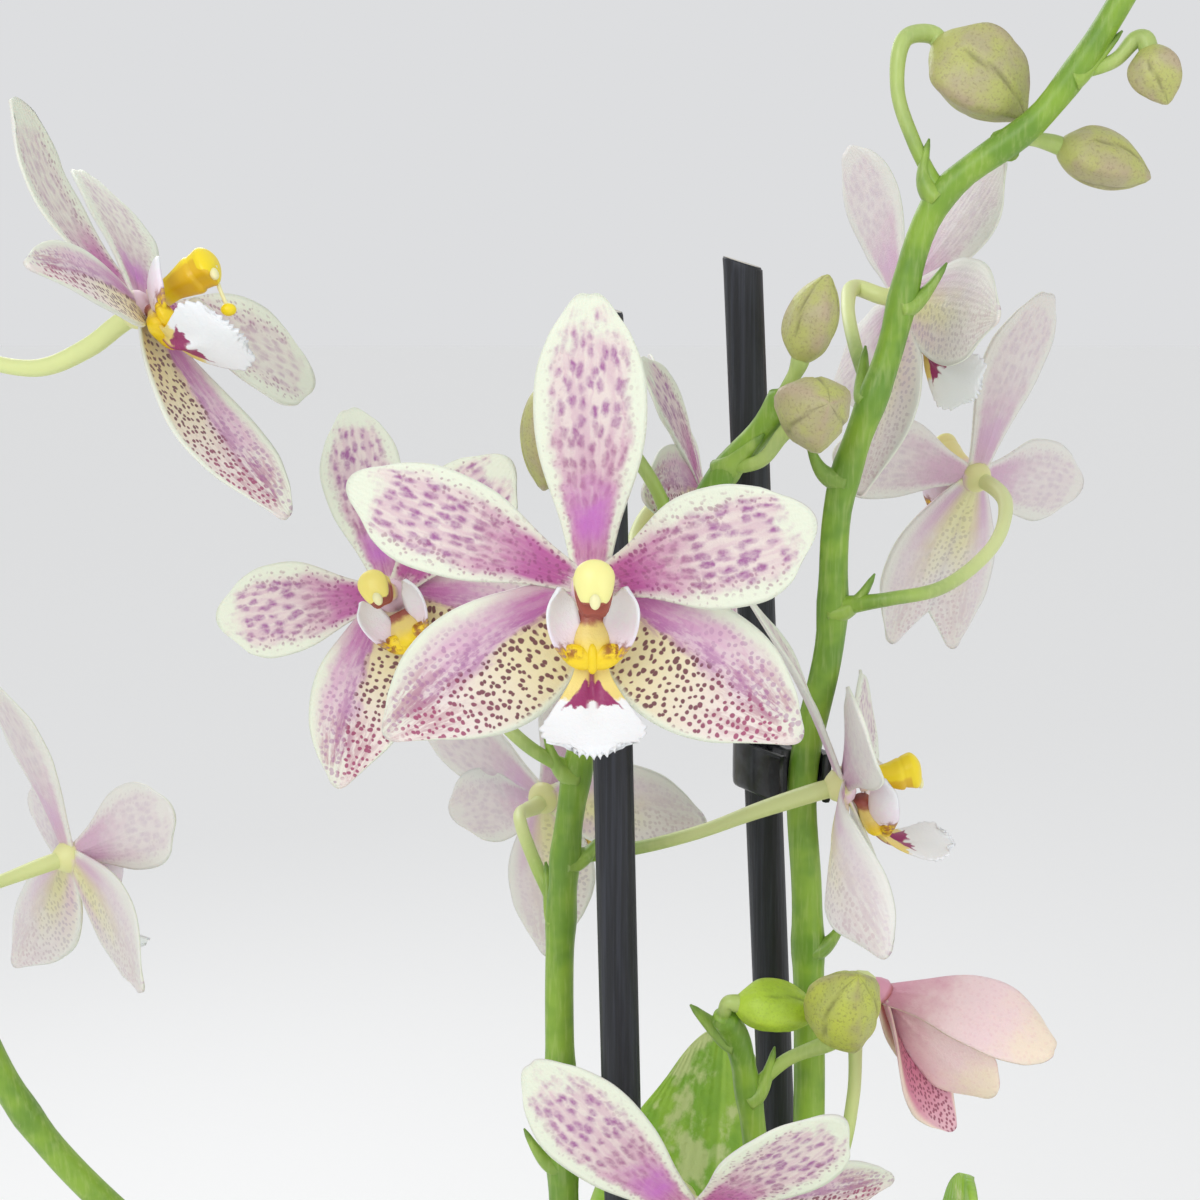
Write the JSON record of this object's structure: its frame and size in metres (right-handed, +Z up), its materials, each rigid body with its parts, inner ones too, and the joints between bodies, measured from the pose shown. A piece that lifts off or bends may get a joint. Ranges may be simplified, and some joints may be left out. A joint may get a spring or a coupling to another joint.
{
  "type": "potted moth orchid",
  "caption": "Flowering moth orchid in a plain round ceramic pot, with arching flower spikes, mottled leaves, support stakes and a clip; stands on its flat base.",
  "frame": {"origin": "middle of the pot's flat base, on the surface that it stands on", "axes": "+Z up along the pot's axis, -Y towards the side that the front flower faces, +X to the right as seen from there"},
  "size_m": [0.2254, 0.1704, 0.4647],
  "materials": {
    "glazed_pot": "satin",
    "bark_chips": "matte",
    "crown": "satin",
    "leaf": "satin",
    "stem": "satin",
    "stake": "satin",
    "clip": "gloss",
    "bud": "satin",
    "petal": "matte",
    "pink_petal": "matte",
    "lip": "matte",
    "column": "matte"
  },
  "bodies": {
    "root": {"pot": "glazed_pot", "potting_bark": "bark_chips", "crown_and_roots": "crown", "leaf_rear_upright": "leaf", "leaf_right_upright": "leaf", "leaf_left": "leaf", "leaf_front_right": "leaf", "leaf_front": "leaf", "leaf_left_rear": "leaf", "spike_right": "stem", "spike_middle": "stem", "spike_short": "stem", "spike_left": "stem", "stake_front": "stake", "stake_back": "stake", "stake_clip": "clip", "bud_high_large": "bud", "bud_high_small": "bud", "bud_high_right": "bud", "bud_tip": "bud", "bud_round": "bud", "bud_behind": "bud", "bud_low_left": "bud", "bud_low_round": "bud", "bloom_front_petals": "petal", "bloom_front_lip": "lip", "bloom_front_column": "column", "bloom_left_petals": "petal", "bloom_left_lip": "lip", "bloom_left_column": "column", "bloom_upper_left_petals": "petal", "bloom_upper_left_lip": "lip", "bloom_upper_left_column": "column", "bloom_edge_left_petals": "petal", "bloom_edge_left_lip": "lip", "bloom_edge_left_column": "column", "bloom_behind_petals": "petal", "bloom_behind_lip": "lip", "bloom_behind_column": "column", "bloom_high_right_petals": "petal", "bloom_high_right_lip": "lip", "bloom_high_right_column": "column", "bloom_back_right_petals": "petal", "bloom_back_right_lip": "lip", "bloom_back_right_column": "column", "bloom_side_right_petals": "petal", "bloom_side_right_lip": "lip", "bloom_side_right_column": "column", "bloom_back_low_petals": "petal", "bloom_back_low_lip": "lip", "bloom_back_low_column": "column", "bloom_low_front_petals": "petal", "bloom_low_front_lip": "lip", "bloom_low_front_column": "column", "bloom_half_open": "pink_petal"}
  },
  "joints": []
}
